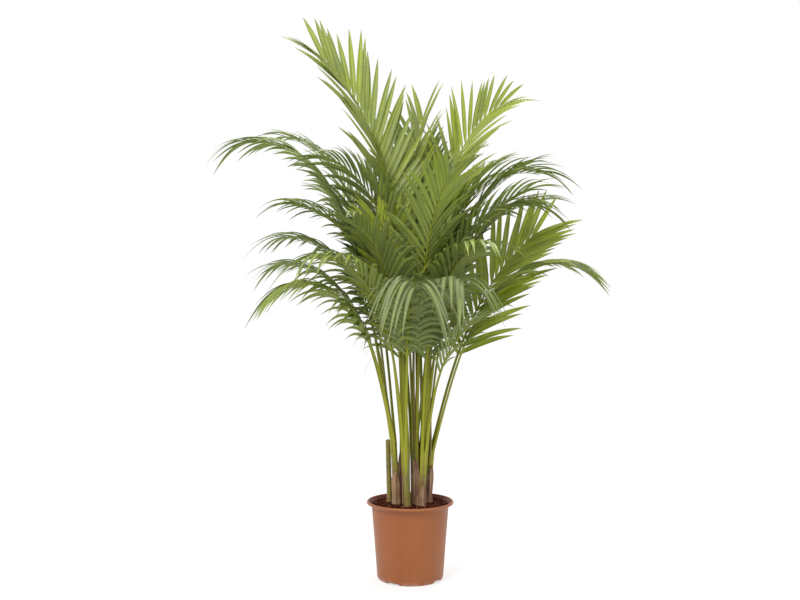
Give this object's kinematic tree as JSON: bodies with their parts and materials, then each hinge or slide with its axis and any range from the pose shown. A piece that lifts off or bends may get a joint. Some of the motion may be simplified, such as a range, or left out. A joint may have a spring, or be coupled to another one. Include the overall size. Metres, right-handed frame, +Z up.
{
  "type": "potted areca palm",
  "caption": "Bushy areca palm with arching feathery fronds on slender canes, growing in compost in a round plastic nursery pot.",
  "frame": {"origin": "on the floor, at the centre of the pot's underside", "axes": "+Z up, along the pot's axis; +X to the plant's right seen from its front; +Y from the front of the plant to its back"},
  "size_m": [1.1189, 0.9114, 1.5761],
  "materials": {
    "terracotta_plastic": "satin",
    "compost": "matte",
    "green_cane": "satin",
    "brown_cane": "matte",
    "leaf": "satin",
    "young_leaf": "satin",
    "dry_sheath": "matte"
  },
  "bodies": {
    "root": {"cane_back": "green_cane", "cane_back_left": "green_cane", "cane_back_right": "green_cane", "cane_centre": "green_cane", "cane_front": "green_cane", "cane_front_right": "green_cane", "cane_inner_back": "green_cane", "cane_inner_left": "green_cane", "cane_inner_right": "green_cane", "cane_left": "green_cane", "cane_middle_left": "green_cane", "cane_right": "green_cane", "cane_stub_left": "brown_cane", "compost": "compost", "dry_sheath_centre": "dry_sheath", "dry_sheath_front_right": "dry_sheath", "dry_sheath_inner_left": "dry_sheath", "dry_sheath_left": "dry_sheath", "dry_sheath_middle_left": "dry_sheath", "dry_sheath_right": "dry_sheath", "frond_01": "leaf", "frond_02": "leaf", "frond_03": "leaf", "frond_04": "leaf", "frond_05": "leaf", "frond_06": "leaf", "frond_07": "leaf", "frond_08": "leaf", "frond_09": "leaf", "frond_10": "leaf", "frond_11": "leaf", "frond_12": "leaf", "frond_13": "leaf", "frond_14": "leaf", "frond_15": "leaf", "frond_16": "leaf", "frond_17": "leaf", "frond_18": "leaf", "frond_19": "leaf", "frond_20": "leaf", "frond_21": "leaf", "frond_22": "leaf", "frond_23": "leaf", "frond_24": "leaf", "frond_25": "leaf", "frond_26": "leaf", "frond_27": "leaf", "frond_28": "leaf", "frond_29": "leaf", "frond_30": "leaf", "frond_31": "leaf", "frond_32": "leaf", "frond_33": "leaf", "frond_34": "leaf", "frond_35": "leaf", "frond_36": "leaf", "pot": "terracotta_plastic", "spear_leaf_1": "young_leaf", "spear_leaf_2": "young_leaf"}
  },
  "joints": []
}
